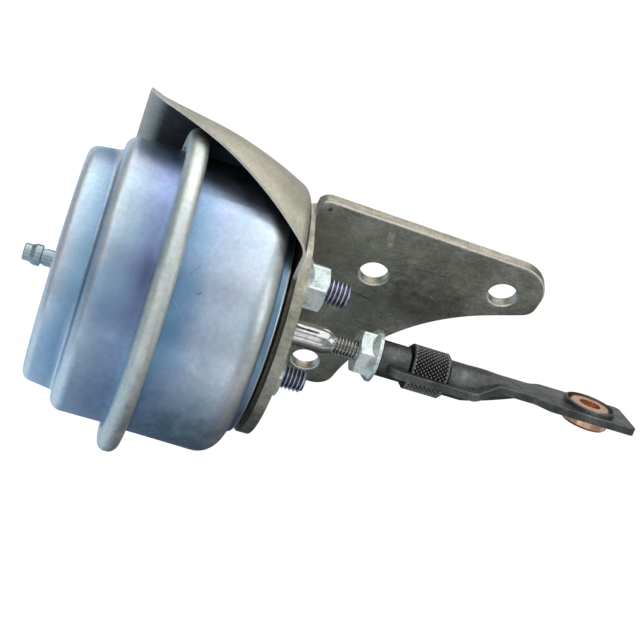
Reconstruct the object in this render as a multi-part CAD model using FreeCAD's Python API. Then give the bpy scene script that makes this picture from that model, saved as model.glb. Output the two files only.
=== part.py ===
"""Vacuum actuator of a turbocharger: can, heat shield, bracket, push rod and adjustable rod end.

Millimetres. The push rod runs along +X, away from the vacuum can, and +Z is up. The model is
laid out round the rod axis with X = 0 in the middle of the crimped rim, and shift() moves every
piece so that the origin ends on the ear's first screw hole, at the mounting face.
"""
import FreeCAD
import Part
import math
import os

V = FreeCAD.Vector
os.makedirs("parts", exist_ok=True)

# --- vacuum can: drawn cups, crimped rim -------------------------------------------------------
cup_wall = 0.9
body_radius = 32.7              # body cylinder at the rim, outside
body_flare = 0.4                # the body widens by this towards its shoulder
body_face_depth = 24.3          # rim middle to the body's end face
body_shoulder_bend = 5.6
cover_step = 0.35               # the cover's cylinder is this much smaller than the body's
cover_shoulder_depth = 15.2     # rim middle to the cover's shoulder
cover_shoulder_bend = 3.0
cover_cap_step = 3.95           # cylinder to the smaller cap on the shoulder
cover_cap_draft = 1.0           # the cap gets this much smaller towards its end
cover_cap_height = 7.4          # shoulder to the cover's end face
cover_end_bend = 2.2
rim_flange_width = 3.5          # body cylinder to the edge of the cups' flanges
rim_bend = 0.8
crimp_wall = 0.8
crimp_space = 1.4               # radial room for the rolled edge outside the flanges
crimp_lip = 2.6                 # how far the rolled lips reach in over the flanges
crimp_roll = 2.1                # outer radius of the roll

# --- stud plate and what is clamped on it ------------------------------------------------------
plate_margin = 0.8              # plate's edge to where the body's shoulder starts to bend
plate_thickness = 1.9
plate_edge = 0.8
seat_margin = 0.9               # raised seat for the shield: metal left outside the stud holes
seat_height = 0.9
shield_wall = 0.7
bracket_wall = 2.5
stud_radius = 3.0
stud_spacing = 32.0
stud_projection = 12.0          # beyond the bracket face
stud_head_radius = 5.0
stud_head_height = 1.4
stud_chamfer = 0.6
stud_hole_clearance = 0.25
nut_hex = 10.0                  # across flats
nut_height = 6.0
nut_flange_width = 1.5          # flats to the edge of the flange
nut_flange_height = 1.5
thread_clearance = 0.05         # nut bore over the plain shank that stands for the thread
stud_nut_turn = 20.0            # degrees about the stud, as tightened

# --- heat shield: radii step down from the crimp to the flange ---------------------------------
shield_overhang = 4.1           # flat flange outside the raised seat
shield_bend = 3.5
shield_sweep = 70.0             # rounding along the hood
shield_rim_gap = 4.2            # crimped rim to the hood's skin at the lip
shield_edge_rise = 1.2          # lip to the back edge, outwards
shield_hood_drop = 2.7          # lip to the hood's first fold, inwards
shield_mid_drop = 3.3           # first fold to the second
shield_shoulder_drop = 3.8      # second fold to the flange's plane
shield_edge_run = 3.5           # the same four steps along X
shield_lip_run = 17.7
shield_hood_run = 10.9
shield_mid_run = 8.9
shield_cut_start = -7.0         # slanted near edge: its Y in the flange's plane
shield_cut_slope = 0.737        # and its gain in Y for each millimetre back
shield_far_edge = -8.0          # lowest Z of the hood on the far side

# --- bracket -----------------------------------------------------------------------------------
bracket_margin = 0.7            # the bracket's disc is this much smaller than the stud plate
ear_face = 16.3                 # near face of the ear, from the rod axis
ear_bend = 1.0                  # inner bend radius
root_top = 24.0                 # Z limits of the bend
root_bottom = -24.5
ear_top = 27.7                  # Z of the ear's top edge just after the bend
ear_top_run = 1.6               # bracket's face to where the top edge starts
ear_hole_radius = 3.5
ear_hole_1_run = 19.4           # screw holes: along X from the bracket's face, and Z
ear_hole_1_up = 10.1
ear_hole_2_run = 50.5
ear_hole_2_up = 16.0
ear_hole_3_run = 14.1
ear_hole_3_up = -26.0
ear_top_round = 3.0
ear_rise_back = 1.8             # bracket's face back to where the top edge starts to rise
ear_die_roll = 0.6              # rounded near edge that the blanking leaves
ear_top_fall = 1.5              # the top edge falls by this towards the tip
ear_tip_reach = 9.6             # second hole to the end of the ear
ear_tip_drop = 3.6              # second hole down to the tip's lower corner
ear_tip_round = 9.0
ear_tip_slope = 24.5            # front edge where it leaves the tip, degrees
ear_hollow_radius = 48.0        # hollow front edge
lobe_reach = 8.3                # third hole to the lobe's lower corner, along X and down
lobe_drop = 8.0
lobe_slope = 81.5               # front edge where it runs into the lobe, degrees
lobe_round = 5.0
rod_window_room = 2.0           # hole for the rod in shield and bracket, outside the seal's cap

# --- rod, diaphragm and spring -----------------------------------------------------------------
rod_radius = 3.2
shoulder_run = 12.3             # seal's cap to the end of the rod's full diameter
rod_cone_length = 1.9
rod_thread_radius = 2.5
rod_thread_length = 32.2
rod_end_chamfer = 0.6
rod_neck_radius = 2.4           # inner end, through the diaphragm stack
rivet_radius = 3.8
rivet_height = 1.2
piston_depth = 9.0              # rim middle to the diaphragm side of the piston
piston_wall = 1.0
piston_skirt = 5.6
piston_bend = 1.8
rubber_thickness = 1.2
rubber_edge_width = 0.8         # rubber's edge outside the cups' flanges
rubber_gap = 0.1                # rubber to the metal beside it
rubber_fold_width = 4.1         # across the rolling fold, between can and piston
rubber_roll_length = 4.5        # piston's face to the lowest point of the fold
rubber_roll_bend = 1.6
retainer_wall = 0.8
retainer_margin = 2.1           # retainer's edge inside the piston's
retainer_lip = 2.2
retainer_spring_gap = 1.0
washer_radius = 6.0
washer_thickness = 1.0
neck_clearance = 0.05
wire_radius = 1.2
spring_turns = 4.5
spring_side_gap = 0.4
seat_wall = 0.8
seat_lip = 2.5
seat_hole_radius = 5.2

# --- rod guide and seal ------------------------------------------------------------------------
guide_wall = 1.8
guide_flange_width = 2.5
guide_flange_height = 1.2
guide_inner_length = 3.0        # inside the flange
guide_nose = 1.1                # stands out of the seat
running_clearance = 0.05
seal_height = 1.4
seal_clearance = 0.1
cap_wall = 0.5
cap_mouth = 0.6                 # radial gap between the cap and the rod

# --- hose nipple -------------------------------------------------------------------------------
nipple_length = 7.5
nipple_radius = 2.0
barb_radius = 2.5
barb_start = 1.6                # from the tip
barb_length = 2.6
groove_radius = 1.8
groove_length = 0.7
nipple_bore = 1.2
nipple_flange_radius = 3.6
nipple_flange_height = 0.8

# --- rod end: jam nut, link, adjuster, eye; lengths follow one another along the rod -----------
jam_nut_run = 6.1               # start of the thread to the hexagon's free face
jam_nut_height = 5.0
jam_flange_width = 1.35
jam_nut_turn = 15.0             # degrees about the rod, as set
jam_gap = 0.7                   # jam nut to the link, as set
tunnel_wall = 1.75
tunnel_past_rod = 2.0           # round part beyond the rod's end, then the nose starts
strip_thickness = 1.9
strip_top = 0.25                # rear strip: its upper face above the rod axis
strip_setback = 2.0             # strip's rear edge behind the tunnel's
strip_rail = 1.8                # metal beside the adjuster's window
strip_corner = 3.0
strip_edge = 0.35               # rounded upper edges of the strip
joggle_run = 1.5                # tunnel's end to the joggle
joggle_length = 5.5
joggle_bend = 3.0
eye_top = 3.2                   # upper face of the eye plate above the rod axis
waist_run = 1.0                 # joggle to the waist
waist_length = 9.0
waist_half_width = 5.0
eye_run = 15.0                  # waist to the middle of the eye
eye_end_margin = 10.7           # middle of the eye to the link's end
eye_side_margin = 0.7           # beside the collar
eye_corner = 1.6
nose_length = 15.0
nose_half_width = 3.4
rod_bore_clearance = 0.15
rod_bore_past_rod = 3.0
adjuster_setback = 7.1          # adjuster behind the tunnel's rear face
adjuster_length = 10.0
adjuster_proud = 1.2            # knurl above the tunnel
adjuster_chamfer = 0.7
window_end_clearance = 0.1
window_side_clearance = 0.2
collar_wall = 0.55
collar_height = 1.1
collar_edge = 0.4
bush_bore = 2.7
bush_wall = 3.2
bush_below = 2.4                # below the eye plate
bush_sink = 0.3                 # below the collar's rim
bush_chamfer = 1.2
bush_foot_chamfer = 0.6
link_roll = -30.0               # turn of the rod end about the rod axis, degrees

# --- sizes and planes that follow from those above ---------------------------------------------
rubber_half = rubber_thickness / 2
flange_plane = rubber_half + cup_wall
cover_radius = body_radius - cover_step
cover_cap_radius = cover_radius - cover_cap_step
cover_end_depth = cover_shoulder_depth + cover_cap_height
rim_flange_radius = body_radius + rim_flange_width
crimp_radius = rim_flange_radius + crimp_space + crimp_wall
plate_radius = body_radius + body_flare - body_shoulder_bend - plate_margin
seat_plane = body_face_depth + plate_thickness + seat_height
seat_radius = stud_spacing / 2 + stud_radius + seat_margin
bracket_back = seat_plane + shield_wall
bracket_front = bracket_back + bracket_wall
mounting_face = ear_face + bracket_wall
flange_radius = plate_radius - bracket_margin
ear_top_start = bracket_front + ear_top_run
ear_hole_1 = (bracket_front + ear_hole_1_run, ear_hole_1_up)
ear_hole_2 = (bracket_front + ear_hole_2_run, ear_hole_2_up)
ear_hole_3 = (bracket_front + ear_hole_3_run, ear_hole_3_up)
shield_flange_radius = seat_radius + shield_overhang
shield_lip_radius = crimp_radius + shield_rim_gap
shield_edge_radius = shield_lip_radius + shield_edge_rise
shield_hood_radius = shield_lip_radius - shield_hood_drop
shield_mid_radius = shield_hood_radius - shield_mid_drop
shield_shoulder_radius = shield_mid_radius - shield_shoulder_drop
shield_mid_depth = bracket_back - shield_mid_run
shield_hood_depth = shield_mid_depth - shield_hood_run
shield_lip_depth = shield_hood_depth - shield_lip_run
shield_edge_depth = shield_lip_depth - shield_edge_run
can_side = body_radius - cup_wall - rubber_gap
piston_radius = can_side - rubber_fold_width - rubber_gap
rubber_edge_radius = rim_flange_radius + rubber_edge_width
rubber_roll_depth = piston_depth + rubber_roll_length
retainer_radius = piston_radius - retainer_margin
spring_radius = retainer_radius - retainer_wall - retainer_spring_gap - wire_radius
guide_radius = rod_radius + guide_wall
guide_flange_radius = guide_radius + guide_flange_width
rod_window_radius = guide_radius + cap_wall + rod_window_room
rod_shoulder_depth = seat_plane + guide_nose + seal_height + shoulder_run
rod_thread_start = rod_shoulder_depth + rod_cone_length
rod_end_depth = rod_thread_start + rod_thread_length
nut_flange_radius = nut_hex / 2 + nut_flange_width
jam_flange_radius = nut_hex / 2 + jam_flange_width
jam_nut_depth = rod_thread_start + jam_nut_run
link_start = jam_nut_depth + jam_nut_height + jam_gap
rod_bore_end = rod_end_depth + rod_bore_past_rod
tunnel_end = rod_end_depth + tunnel_past_rod
tunnel_radius = rod_thread_radius + rod_bore_clearance + tunnel_wall
adjuster_start = link_start + adjuster_setback
adjuster_radius = tunnel_radius + adjuster_proud
strip_start = link_start + strip_setback
strip_half_width = adjuster_radius + window_side_clearance + strip_rail
joggle_start = tunnel_end + joggle_run
waist_start = joggle_start + joggle_length + waist_run
eye_depth = waist_start + waist_length + eye_run
link_end = eye_depth + eye_end_margin
bush_radius = bush_bore + bush_wall
collar_radius = bush_radius + running_clearance + collar_wall
eye_half_width = collar_radius + eye_side_margin


# --- sheet and outline helpers -----------------------------------------------------------------
def corner(before, here, after, radius):
    """Tangent points and middle point of the arc of one rounded corner, or the bare point."""
    x, y = here[0], here[1]
    ax, ay = before[0] - x, before[1] - y
    bx, by = after[0] - x, after[1] - y
    la, lb = math.hypot(ax, ay), math.hypot(bx, by)
    ax, ay, bx, by = ax / la, ay / la, bx / lb, by / lb
    half = math.acos(max(-1.0, min(1.0, ax * bx + ay * by))) / 2
    if radius < 1e-6 or abs(half - math.pi / 2) < 1e-4:
        return [(x, y)]
    reach = radius / math.tan(half)
    mx, my = ax + bx, ay + by
    lm = math.hypot(mx, my)
    middle = radius / math.sin(half) - radius
    return [
        (x + ax * reach, y + ay * reach),
        (x + mx / lm * middle, y + my / lm * middle),
        (x + bx * reach, y + by * reach),
    ]


def rounded_edges(points, to_space, closed):
    """Straight and arc edges through (a, b, radius) points; to_space maps (a, b) to a vector."""
    count = len(points)
    pieces = []
    for i, point in enumerate(points):
        radius = point[2] if len(point) > 2 else 0.0
        if closed or 0 < i < count - 1:
            pieces.append(corner(points[i - 1], point, points[(i + 1) % count], radius))
        else:
            pieces.append([(point[0], point[1])])
    edges = []
    last = len(pieces) if closed else len(pieces) - 1
    for i, piece in enumerate(pieces):
        if len(piece) == 3:
            edges.append(Part.Arc(*[to_space(*p) for p in piece]).toShape())
        if i < last:
            a, b = to_space(*piece[-1]), to_space(*pieces[(i + 1) % count][0])
            if a.distanceToPoint(b) > 1e-6:
                edges.append(Part.LineSegment(a, b).toShape())
    return edges


def face_of(edges):
    return Part.Face(Part.Wire(Part.__sortEdges__(edges)))


def outline(points, to_space):
    """Flat face with rounded corners."""
    return face_of(rounded_edges(points, to_space, True))


def offset_path(points, distance):
    """The open path moved sideways, to the left of its travel for a positive distance."""
    def unit(a, b):
        length = math.hypot(b[0] - a[0], b[1] - a[1])
        return (b[0] - a[0]) / length, (b[1] - a[1]) / length

    moved = []
    for i, point in enumerate(points):
        radius = point[2] if len(point) > 2 else 0.0
        d0 = unit(points[i - 1], point) if i > 0 else None
        d1 = unit(point, points[i + 1]) if i < len(points) - 1 else None
        if d0 is None or d1 is None:
            d = d0 or d1
            moved.append((point[0] - d[1] * distance, point[1] + d[0] * distance, 0.0))
            continue
        turn = d0[0] * d1[1] - d0[1] * d1[0]
        scale = distance / (1 + d0[0] * d1[0] + d0[1] * d1[1])
        x = point[0] - (d0[1] + d1[1]) * scale
        y = point[1] + (d0[0] + d1[0]) * scale
        grown = radius - distance if turn > 0 else radius + distance
        moved.append((x, y, max(grown, 0.0) if radius > 0 else 0.0))
    return moved


def sheet_face(points, wall, to_space):
    """Cross-section of bent sheet: the path is one skin, the wall lies to its left."""
    other = offset_path(points, wall)
    edges = rounded_edges(points, to_space, False) + rounded_edges(other, to_space, False)
    for a, b in ((points[0], other[0]), (points[-1], other[-1])):
        edges.append(Part.LineSegment(to_space(a[0], a[1]), to_space(b[0], b[1])).toShape())
    return face_of(edges)


def in_section(x, r):
    """Half section of a turned piece: along the axis and outwards."""
    return V(x, 0, r)


def in_plan(x, y):
    return V(x, y, 0)


def in_side(x, z):
    return V(x, 0, z)


def across(y, z):
    return V(0, y, z)


def turned(points):
    """Solid of revolution about X from a closed (x, r, corner radius) outline."""
    return outline(points, in_section).revolve(V(0, 0, 0), V(1, 0, 0), 360)


def drawn(points, wall):
    """Pressed or drawn sheet, turned about X. The wall lies to the left of the path."""
    return sheet_face(points, wall, in_section).revolve(V(0, 0, 0), V(1, 0, 0), 360)


def rod_shape(x0, x1, radius, y=0.0, z=0.0):
    return Part.makeCylinder(radius, x1 - x0, V(x0, y, z), V(1, 0, 0))


def ring(x0, x1, outer, inner):
    return rod_shape(x0, x1, outer).cut(rod_shape(x0 - 1, x1 + 1, inner))


def prism(points, to_space, direction):
    return outline(points, to_space).extrude(direction)


def roll(shape):
    """Turn a rod-end piece about the rod axis into its place."""
    turned_shape = shape.copy()
    turned_shape.rotate(V(0, 0, 0), V(1, 0, 0), link_roll)
    return turned_shape


def stud_places():
    return [(0.0, side * stud_spacing / 2) for side in (1, -1)]


# --- vacuum can --------------------------------------------------------------------------------
def cover_cup():
    path = [
        (-cover_end_depth, nipple_radius),
        (-cover_end_depth, cover_cap_radius - cover_cap_draft, cover_end_bend),
        (-cover_shoulder_depth, cover_cap_radius, rim_bend),
        (-cover_shoulder_depth, cover_radius, cover_shoulder_bend),
        (-flange_plane, cover_radius, rim_bend),
        (-flange_plane, rim_flange_radius),
    ]
    return drawn(path, -cup_wall)


def body_cup():
    path = [
        (body_face_depth, guide_radius),
        (body_face_depth, body_radius + body_flare, body_shoulder_bend),
        (flange_plane, body_radius, rim_bend),
        (flange_plane, rim_flange_radius),
    ]
    cup = drawn(path, cup_wall)
    for y, z in stud_places():
        cup = cup.cut(rod_shape(0, bracket_front, stud_radius, y, z))
    return cup


def crimp_ring():
    face = flange_plane + crimp_wall
    lip = rim_flange_radius - crimp_lip
    path = [(-face, lip), (-face, crimp_radius, crimp_roll), (face, crimp_radius, crimp_roll), (face, lip)]
    return drawn(path, -crimp_wall)


def hose_nipple():
    end = -cover_end_depth
    tip = end - nipple_length
    barb = tip + barb_start
    groove = barb + barb_length
    inside = end + cup_wall
    points = [
        (tip, nipple_bore),
        (tip, nipple_radius, 0.3),
        (barb, nipple_radius),
        (barb + barb_length * 0.4, barb_radius, 0.5),
        (groove, barb_radius, 0.3),
        (groove, groove_radius),
        (groove + groove_length, groove_radius),
        (groove + groove_length, nipple_radius),
        (inside, nipple_radius),
        (inside, nipple_flange_radius),
        (inside + nipple_flange_height, nipple_flange_radius),
        (inside + nipple_flange_height, nipple_bore),
    ]
    return turned(points)


def stud_plate():
    back = body_face_depth
    face = back + plate_thickness
    points = [
        (back, guide_radius),
        (back, plate_radius),
        (face, plate_radius, plate_edge),
        (face, seat_radius),
        (seat_plane, seat_radius, seat_height / 3),
        (seat_plane, guide_radius),
    ]
    plate = turned(points)
    for y, z in stud_places():
        plate = plate.cut(rod_shape(0, bracket_front, stud_radius, y, z))
    return plate


def mounting_studs():
    inside = body_face_depth - cup_wall
    end = bracket_front + stud_projection
    studs = []
    for y, z in stud_places():
        head = rod_shape(inside - stud_head_height, inside, stud_head_radius, y, z)
        shank = rod_shape(inside, end - stud_chamfer, stud_radius, y, z)
        point = Part.makeCone(
            stud_radius, stud_radius - stud_chamfer, stud_chamfer, V(end - stud_chamfer, y, z), V(1, 0, 0)
        )
        studs.append(head.fuse([shank, point]).removeSplitter())
    return Part.makeCompound(studs)


def flange_nut(height, flange_radius_, bore):
    """Hexagon flange nut along +X with the flange's bearing face at X = 0."""
    corner_radius = nut_hex / 2 / math.cos(math.radians(30))
    corners = [
        (corner_radius * math.cos(math.radians(60 * k)), corner_radius * math.sin(math.radians(60 * k)))
        for k in range(6)
    ]
    hexagon = prism(corners, across, V(height, 0, 0))
    dome = turned([
        (0, 0),
        (0, corner_radius + 1),
        (height - (corner_radius + 1 - nut_hex / 2) * 0.5, corner_radius + 1),
        (height, nut_hex / 2),
        (height, 0),
    ])
    flange = turned([
        (0, 0),
        (0, flange_radius_),
        (nut_flange_height * 0.5, flange_radius_, 0.2),
        (nut_flange_height * 1.6, nut_hex / 2),
        (nut_flange_height * 1.6, 0),
    ])
    nut = hexagon.common(dome).fuse(flange)
    return nut.cut(rod_shape(-1, height + 1, bore)).removeSplitter()


def stud_nuts():
    nuts = []
    for y, z in stud_places():
        nut = flange_nut(nut_height, nut_flange_radius, stud_radius + thread_clearance)
        nut.rotate(V(0, 0, 0), V(1, 0, 0), stud_nut_turn)
        nut.translate(V(bracket_front, y, z))
        nuts.append(nut)
    return Part.makeCompound(nuts)


# --- heat shield and bracket -------------------------------------------------------------------
def heat_shield():
    path = [
        (shield_edge_depth, shield_edge_radius),
        (shield_lip_depth, shield_lip_radius, shield_bend),
        (shield_hood_depth, shield_hood_radius, shield_sweep),
        (shield_mid_depth, shield_mid_radius, shield_sweep),
        (bracket_back, shield_shoulder_radius, shield_bend),
        (bracket_back, rod_window_radius),
    ]
    pressed = drawn(path, -shield_wall)
    reach = 2 * shield_edge_radius
    x0 = shield_edge_depth - 1
    x1 = bracket_back + 1
    hood_plan = [
        (x0, shield_cut_start + shield_cut_slope * (bracket_back - x0)),
        (x1, shield_cut_start + shield_cut_slope * (bracket_back - x1)),
        (x1, reach),
        (x0, reach),
    ]
    hood_zone = prism(hood_plan, in_plan, V(0, 0, reach))
    hood_zone.translate(V(0, 0, shield_far_edge))
    disc_zone = rod_shape(seat_plane - 0.01, x1, shield_flange_radius)
    shield = pressed.common(hood_zone.fuse(disc_zone))
    for y, z in stud_places():
        shield = shield.cut(rod_shape(0, bracket_front, stud_radius + stud_hole_clearance, y, z))
    return shield.removeSplitter()


def meet(a, angle_a, b, angle_b):
    """Crossing of two lines, each given by a point and a direction in degrees."""
    ax, ay = math.cos(math.radians(angle_a)), math.sin(math.radians(angle_a))
    bx, by = math.cos(math.radians(angle_b)), math.sin(math.radians(angle_b))
    along = ((b[0] - a[0]) * by - (b[1] - a[1]) * bx) / (ax * by - ay * bx)
    return a[0] + ax * along, a[1] + ay * along


def ear_outline():
    """Side view of the ear: top edge, rounded tip, hollow front edge, lobe, way back to the bend."""
    back = bracket_back - 1
    bend_end = bracket_front + ear_bend
    x2, z2 = ear_hole_2
    x3, z3 = ear_hole_3
    tip = (x2 + ear_tip_reach, z2 - ear_tip_drop)
    lobe = (x3 + lobe_reach, z3 - lobe_drop)
    hollow = meet(tip, ear_tip_slope, lobe, lobe_slope)
    points = [
        (back, root_top),
        (bracket_front - ear_rise_back, root_top),
        (ear_top_start, ear_top, ear_top_round),
        (tip[0], ear_top - ear_top_fall, ear_tip_round),
        (tip[0], tip[1], ear_tip_round * 0.4),
        (hollow[0], hollow[1], ear_hollow_radius),
        (lobe[0], lobe[1], lobe_round),
        (x3, z3 - lobe_drop, lobe_round),
        (bend_end, root_bottom),
        (back, root_bottom),
    ]
    return outline(points, in_side)


def flat_ear(ear_zone):
    """The ear beyond the bend, with its screw holes and the rounded edges on its near face."""
    bend_end = bracket_front + ear_bend
    reach = 2 * flange_radius
    slab = Part.makeBox(2 * reach, bracket_wall, 2 * reach, V(bend_end, ear_face, -reach))
    ear = slab.common(ear_zone)
    for x, z in (ear_hole_1, ear_hole_2, ear_hole_3):
        ear = ear.cut(Part.makeCylinder(ear_hole_radius, mounting_face, V(x, ear_bend, z), V(0, 1, 0)))
    rolled = []
    for edge in ear.Edges:
        box = edge.BoundBox
        near = abs(box.YMin - ear_face) < 0.001 and abs(box.YMax - ear_face) < 0.001
        at_bend = abs(box.XMax - bend_end) < 0.001
        if near and not at_bend:
            rolled.append(edge)
    return ear.makeFillet(ear_die_roll, rolled)


def bracket():
    tip = ear_hole_2[0] + ear_tip_reach + 1
    path = [(bracket_front, -flange_radius - 1), (bracket_front, ear_face, ear_bend), (tip, ear_face)]
    reach = 2 * flange_radius
    bend_end = bracket_front + ear_bend
    bent = sheet_face(path, bracket_wall, in_plan).extrude(V(0, 0, 2 * reach))
    bent.translate(V(0, 0, -reach))
    ear_zone = ear_outline().extrude(V(0, mounting_face + 2, 0))
    disc = rod_shape(bracket_back - 1, bend_end, flange_radius)
    root = prism(
        [
            (0, flange_radius),
            (0, -flange_radius),
            (ear_face - ear_bend, root_bottom),
            (mounting_face + 1, root_bottom),
            (mounting_face + 1, root_top),
            (ear_face - ear_bend, root_top),
        ],
        across, V(bracket_wall + ear_bend + 1, 0, 0),
    )
    root.translate(V(bracket_back - 1, 0, 0))
    flange_zone = disc.fuse(root)
    bend_side = Part.makeBox(ear_bend, mounting_face, 2 * reach, V(bracket_front, ear_face - ear_bend, -reach))
    bend = bent.common(flange_zone).fuse(bent.common(ear_zone).common(bend_side))
    tools = [rod_shape(0, bracket_front + 1, rod_window_radius)]
    for y, z in stud_places():
        tools.append(rod_shape(0, bracket_front + 1, stud_radius + stud_hole_clearance, y, z))
    return bend.cut(tools).fuse(flat_ear(ear_zone)).removeSplitter()


# --- diaphragm, piston and spring --------------------------------------------------------------
def diaphragm():
    path = [
        (rubber_half, rubber_edge_radius),
        (rubber_half, can_side, rubber_half),
        (rubber_roll_depth, can_side, rubber_roll_bend),
        (rubber_roll_depth, piston_radius + rubber_gap, rubber_roll_bend),
        (piston_depth, piston_radius + rubber_gap, piston_bend + rubber_gap),
        (piston_depth, rod_neck_radius + neck_clearance),
    ]
    return drawn(path, -rubber_thickness)


def piston_cup():
    path = [
        (piston_depth, rod_neck_radius + neck_clearance),
        (piston_depth, piston_radius, piston_bend),
        (piston_depth + piston_skirt, piston_radius),
    ]
    return drawn(path, -piston_wall)


def retainer_face():
    """Spring side of the diaphragm retainer."""
    return piston_depth - rubber_thickness - retainer_wall


def diaphragm_retainer():
    face = retainer_face()
    path = [
        (face, rod_neck_radius + neck_clearance),
        (face, retainer_radius - retainer_wall, retainer_wall / 2),
        (face - retainer_lip, retainer_radius - retainer_wall),
    ]
    return drawn(path, -retainer_wall)


def rivet_washer():
    face = retainer_face()
    return ring(face - washer_thickness, face, washer_radius, rod_neck_radius + neck_clearance)


def seat_face():
    return -cover_end_depth + cup_wall + seat_wall


def spring_seat():
    face = seat_face()
    inner_wall = spring_radius + wire_radius + spring_side_gap
    path = [(face + seat_lip, inner_wall), (face, inner_wall, seat_wall / 2), (face, seat_hole_radius)]
    return drawn(path, -seat_wall)


def return_spring():
    low = seat_face() + wire_radius
    high = retainer_face() - wire_radius
    pitch = (high - low) / spring_turns
    helix = Part.makeHelix(pitch, high - low, spring_radius)
    section = Part.Wire(Part.makeCircle(wire_radius, V(spring_radius, 0, 0), V(0, 1, 0)))
    coil = Part.Wire(helix.Edges).makePipeShell([section], True, True)
    coil.rotate(V(0, 0, 0), V(0, 1, 0), 90)
    coil.translate(V(low, 0, 0))
    return coil


def rod():
    rivet_face = retainer_face() - washer_thickness
    shoulder = piston_depth + piston_wall
    points = [
        (rivet_face - rivet_height, 0),
        (rivet_face - rivet_height, rivet_radius, rivet_height * 0.8),
        (rivet_face, rivet_radius),
        (rivet_face, rod_neck_radius),
        (shoulder, rod_neck_radius),
        (shoulder, rod_radius),
        (rod_shoulder_depth, rod_radius),
        (rod_thread_start, rod_thread_radius),
        (rod_end_depth - rod_end_chamfer, rod_thread_radius),
        (rod_end_depth, rod_thread_radius - rod_end_chamfer),
        (rod_end_depth, 0),
    ]
    return turned(points)


def guide_bush():
    flange_face = body_face_depth - cup_wall
    flange_back = flange_face - guide_flange_height
    nose = seat_plane + guide_nose
    bore = rod_radius + running_clearance
    points = [
        (flange_back - guide_inner_length, bore),
        (flange_back - guide_inner_length, guide_radius, 0.5),
        (flange_back, guide_radius),
        (flange_back, guide_flange_radius, 0.3),
        (flange_face, guide_flange_radius),
        (flange_face, guide_radius),
        (nose, guide_radius),
        (nose, bore),
    ]
    return turned(points)


def rod_seal():
    start = seat_plane + guide_nose
    end = start + seal_height
    bore = rod_radius + seal_clearance
    return turned([(start, bore), (start, guide_radius), (end, guide_radius, cap_wall), (end, bore)])


def seal_retainer():
    front = seat_plane + guide_nose + seal_height
    path = [
        (seat_plane, guide_radius),
        (front, guide_radius, cap_wall / 2),
        (front, rod_radius + cap_mouth),
    ]
    return drawn(path, cap_wall)


# --- rod end -----------------------------------------------------------------------------------
def jam_nut():
    nut = flange_nut(jam_nut_height, jam_flange_radius, rod_thread_radius + thread_clearance)
    nut.rotate(V(0, 0, 0), V(0, 0, 1), 180)
    nut.rotate(V(0, 0, 0), V(1, 0, 0), jam_nut_turn)
    nut.translate(V(jam_nut_depth + jam_nut_height, 0, 0))
    return nut


def ellipse_wire(x, centre, half_width, half_height):
    if half_width >= half_height:
        curve = Part.Ellipse(V(x, half_width, centre), V(x, 0, centre + half_height), V(x, 0, centre))
    else:
        curve = Part.Ellipse(V(x, 0, centre + half_height), V(x, half_width, centre), V(x, 0, centre))
    return Part.Wire(curve.toShape())


def upper_edges(strip):
    """Edges between the strip's upper skin and its upright sides."""
    found = []
    for edge in strip.Edges:
        middle = edge.valueAt((edge.FirstParameter + edge.LastParameter) / 2)
        if strip.isInside(middle + V(0, 0, strip_thickness / 10), 1e-6, True):
            continue
        upright = []
        for face in strip.ancestorsOfType(edge, Part.Face):
            u, v = face.Surface.parameter(middle)
            upright.append(face.normalAt(u, v).z)
        if max(upright) > 0.3 and min(abs(z) for z in upright) < 0.05:
            found.append(edge)
    return found


def link_strip():
    """Pressed strip: side view with the joggle, cut to its plan outline."""
    joggle_end = joggle_start + joggle_length
    path = [
        (strip_start, strip_top),
        (joggle_start, strip_top, joggle_bend),
        (joggle_end, eye_top, joggle_bend),
        (link_end, eye_top),
    ]
    width = 2 * max(strip_half_width, eye_half_width)
    side = sheet_face(path, -strip_thickness, in_side).extrude(V(0, 2 * width, 0))
    side.translate(V(0, -width, 0))
    waist_end = waist_start + waist_length
    taper = waist_start - joggle_start
    half = [
        (strip_start, strip_half_width, strip_corner),
        (joggle_start, strip_half_width, taper),
        (waist_start, waist_half_width, taper),
        (waist_end, waist_half_width, taper / 2),
        (waist_end + taper / 2, eye_half_width, taper / 2),
        (link_end, eye_half_width, eye_corner),
    ]
    plan = half + [(x, -y, r) for x, y, r in reversed(half)]
    zone = prism(plan, in_plan, V(0, 0, 2 * width))
    zone.translate(V(0, 0, -width))
    strip = side.common(zone)
    return strip.makeFillet(strip_edge, upper_edges(strip))


def link_nose():
    """Tunnel end flattened into the strip: round, then ever flatter sections."""
    plate_middle = eye_top - strip_thickness / 2
    sections = []
    for share in (0.0, 0.38, 0.72, 1.0):
        ease = share ** 1.5
        centre = plate_middle * share
        half_height = tunnel_radius + (strip_thickness / 2 - tunnel_radius) * ease
        half_width = tunnel_radius + (nose_half_width - tunnel_radius) * share
        sections.append(ellipse_wire(tunnel_end + nose_length * share, centre, half_width, half_height))
    return Part.makeLoft(sections, True, False)


def eye_bore():
    return bush_radius + running_clearance


def link():
    tunnel = rod_shape(link_start, tunnel_end, tunnel_radius)
    collar_profile = [
        (0, eye_top - strip_thickness / 2),
        (collar_radius, eye_top - strip_thickness / 2),
        (collar_radius, eye_top + collar_height, collar_edge),
        (0, eye_top + collar_height),
    ]
    collar = outline(collar_profile, in_side).revolve(V(0, 0, 0), V(0, 0, 1), 360)
    collar.translate(V(eye_depth, 0, 0))
    body = link_strip().fuse([tunnel, link_nose(), collar])
    span = 2 * strip_half_width
    window_half = adjuster_radius + window_side_clearance
    window = Part.makeBox(
        adjuster_length + 2 * window_end_clearance, 2 * window_half, 2 * span,
        V(adjuster_start - window_end_clearance, -window_half, -span),
    )
    bore = rod_shape(link_start - 1, rod_bore_end, rod_thread_radius + rod_bore_clearance)
    eye = Part.makeCylinder(eye_bore(), 2 * span, V(eye_depth, 0, -span))
    return roll(body.cut([window, bore, eye]).removeSplitter())


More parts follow.
